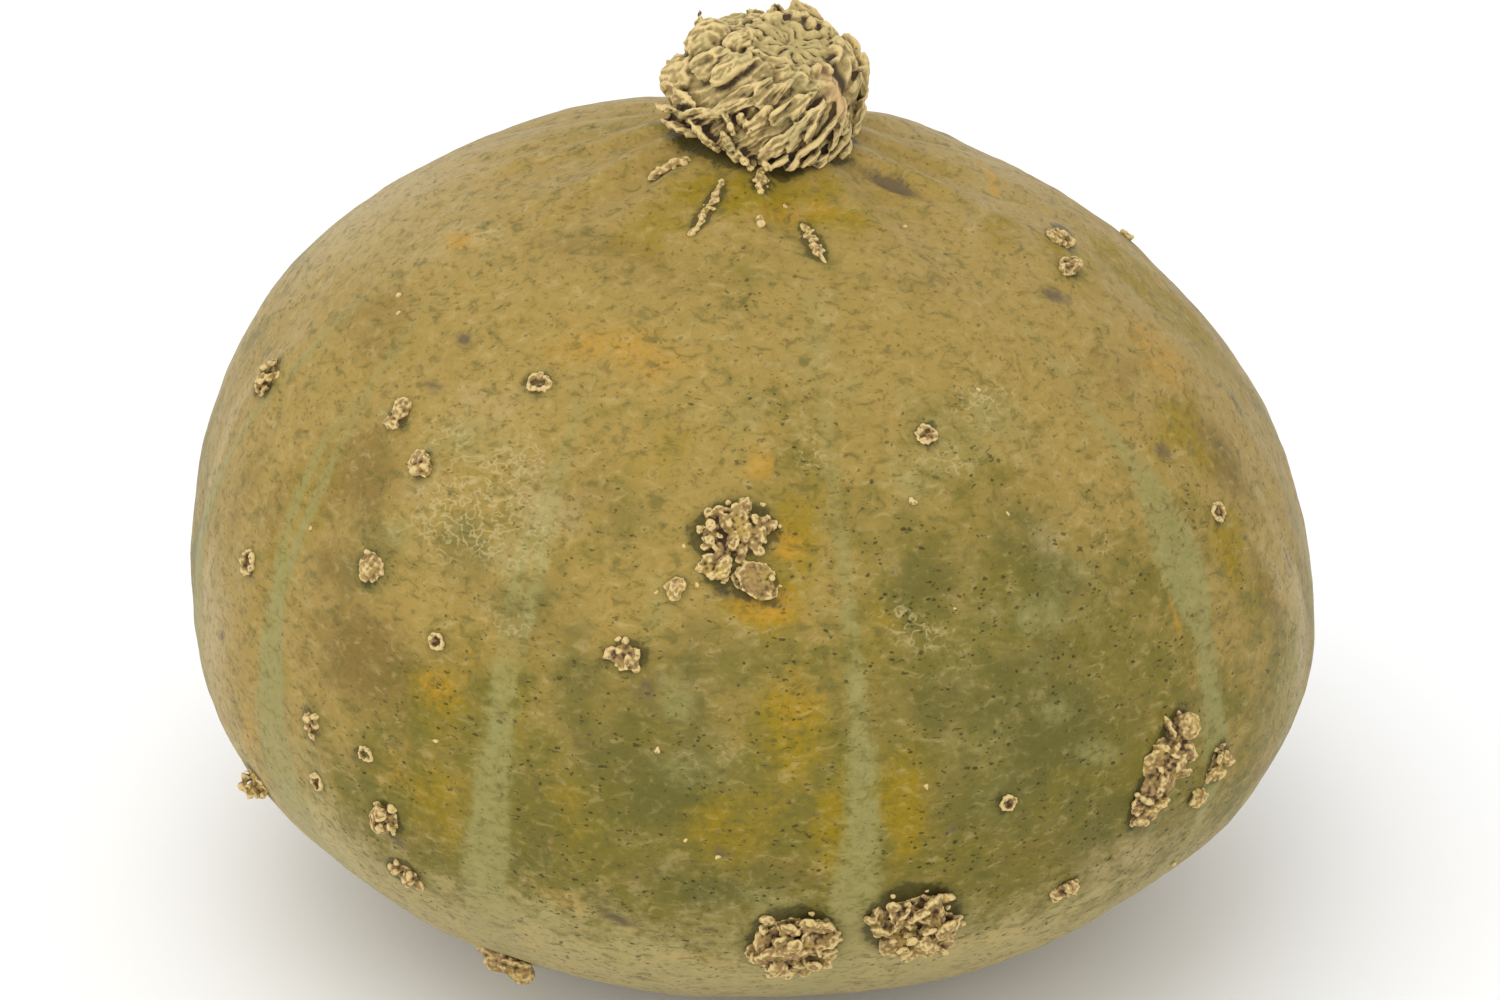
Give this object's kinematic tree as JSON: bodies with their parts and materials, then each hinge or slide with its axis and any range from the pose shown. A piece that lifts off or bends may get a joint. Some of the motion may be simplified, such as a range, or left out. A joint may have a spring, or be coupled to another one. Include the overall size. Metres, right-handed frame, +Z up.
{
  "type": "kabocha squash",
  "caption": "Whole ripe kabocha squash with a low round body, pale stripes, corky warts and a knobbly dry stem, standing on its flattened blossom end.",
  "frame": {"origin": "under the middle of the squash, on the surface that it rests on", "axes": "+Z up from the resting face, -Y towards the best side, +X to the right seen from that side"},
  "size_m": [0.1789, 0.1793, 0.146],
  "materials": {
    "rind": "waxy satin rind",
    "cork": "dry rough cork"
  },
  "bodies": {
    "root": {"fruit": "rind", "stem": "cork"}
  },
  "joints": []
}
